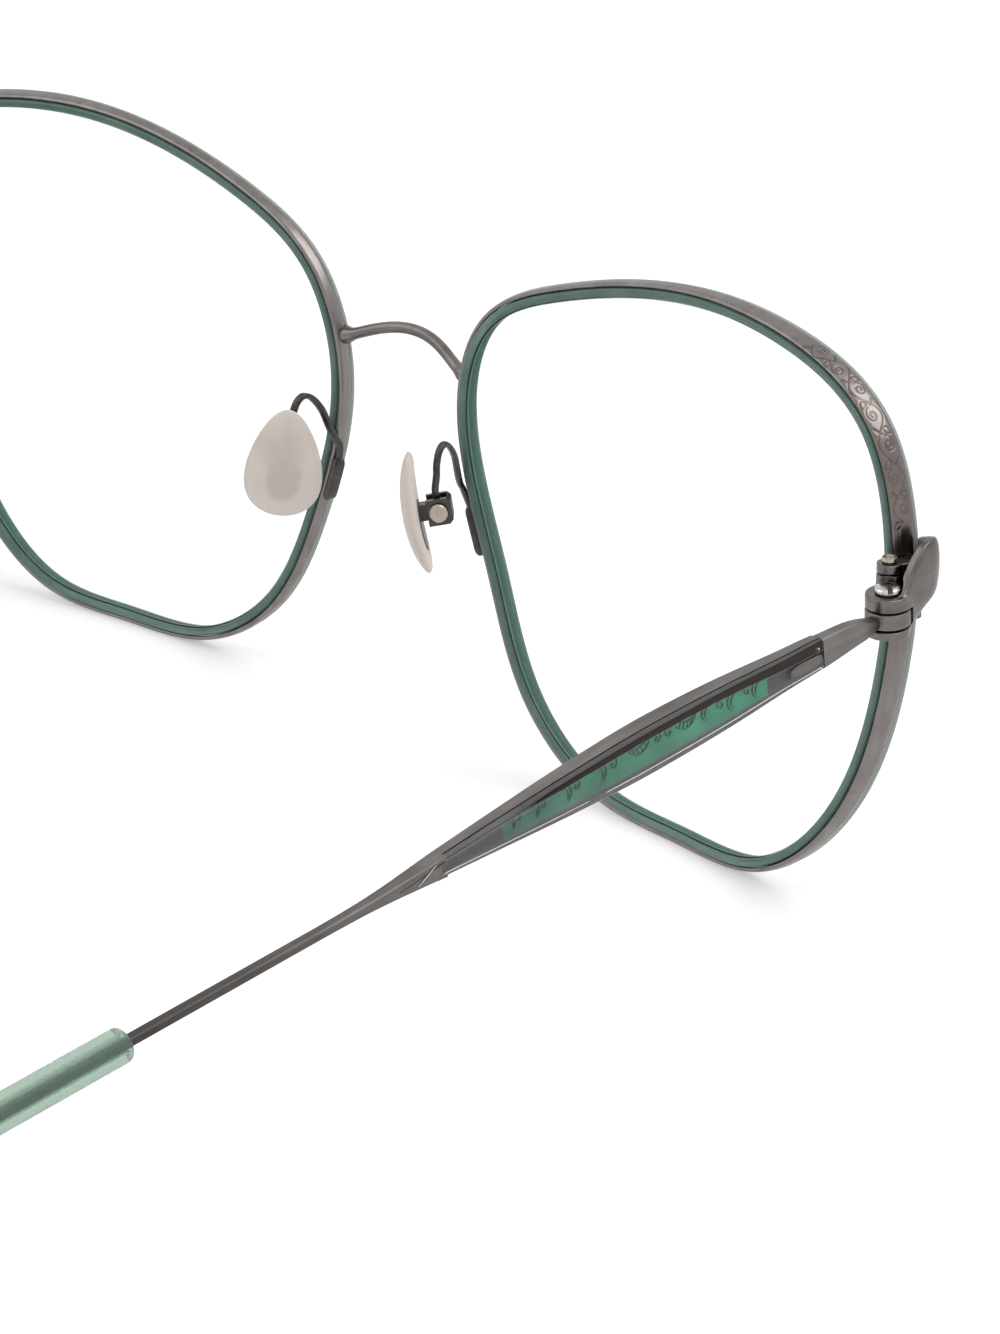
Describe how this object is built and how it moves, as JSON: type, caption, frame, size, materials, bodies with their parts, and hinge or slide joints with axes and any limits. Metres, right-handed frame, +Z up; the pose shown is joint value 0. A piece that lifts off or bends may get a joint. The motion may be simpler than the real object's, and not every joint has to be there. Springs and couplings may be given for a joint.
{
  "type": "eyeglasses",
  "caption": "Cat-eye metal eyeglasses with smoky green inner rims, clear lenses, nose pads and folding temples with translucent inlays.",
  "frame": {"origin": "bottom centre of the bounding box, on the surface that the open eyeglasses stand on", "axes": "+Y from the lenses to the temple tips, +Z up, -X to the wearer's right"},
  "size_m": [0.1354, 0.1484, 0.0517],
  "materials": {
    "gunmetal": "dark satin",
    "gunmetal_band": "dark satin, engraved with scrolls",
    "screw_steel": "polished",
    "smoke_rim": "translucent smoky green, polished",
    "smoke_inlay": "translucent smoke, polished",
    "green_panel": "translucent green with dark scrolls",
    "sleeve_plastic": "translucent pale green, polished",
    "clear_lens": "clear, uncoated",
    "pad_silicone": "translucent, satin",
    "pad_insert": "matte"
  },
  "bodies": {
    "front": {"bridge": "gunmetal", "right_eyewire": "gunmetal_band", "right_inner_rim": "smoke_rim", "right_lens": "clear_lens", "right_closing_block": "gunmetal", "right_end_piece": "gunmetal", "right_rim_lock_screw": "screw_steel", "right_hinge_screw": "screw_steel", "right_pad_arm": "gunmetal", "right_pad_box": "gunmetal", "right_pad_screw": "screw_steel", "left_eyewire": "gunmetal_band", "left_inner_rim": "smoke_rim", "left_lens": "clear_lens", "left_closing_block": "gunmetal", "left_end_piece": "gunmetal", "left_rim_lock_screw": "screw_steel", "left_hinge_screw": "screw_steel", "left_pad_arm": "gunmetal", "left_pad_box": "gunmetal", "left_pad_screw": "screw_steel"},
    "right_temple": {"right_temple_core": "gunmetal", "right_temple_inlay": "smoke_inlay", "right_green_panel": "green_panel", "right_tip_sleeve": "sleeve_plastic"},
    "left_temple": {"left_temple_core": "gunmetal", "left_temple_inlay": "smoke_inlay", "left_green_panel": "green_panel", "left_tip_sleeve": "sleeve_plastic"},
    "right_nose_pad_body": {"right_nose_pad": "pad_silicone", "right_pad_insert": "pad_insert"},
    "left_nose_pad_body": {"left_nose_pad": "pad_silicone", "left_pad_insert": "pad_insert"}
  },
  "joints": [
    {"name": "right_temple_fold", "type": "hinge", "parent": "front", "child": "right_temple", "pos_m": [-0.06575, -0.06295, 0.03238], "axis": [0, 0.035, -0.9994], "range_deg": [0, 83]},
    {"name": "left_temple_fold", "type": "hinge", "parent": "front", "child": "left_temple", "pos_m": [0.06575, -0.06295, 0.03238], "axis": [0, -0.035, 0.9994], "range_deg": [0, 87]},
    {"name": "right_pad_rock", "type": "hinge", "parent": "front", "child": "right_nose_pad_body", "pos_m": [-0.01012, -0.06567, 0.02551], "axis": [0.6944, -0.7047, -0.1457], "range_deg": [-10, 10]},
    {"name": "left_pad_rock", "type": "hinge", "parent": "front", "child": "left_nose_pad_body", "pos_m": [0.01012, -0.06567, 0.02551], "axis": [-0.6944, -0.7047, -0.1457], "range_deg": [-10, 10]}
  ]
}
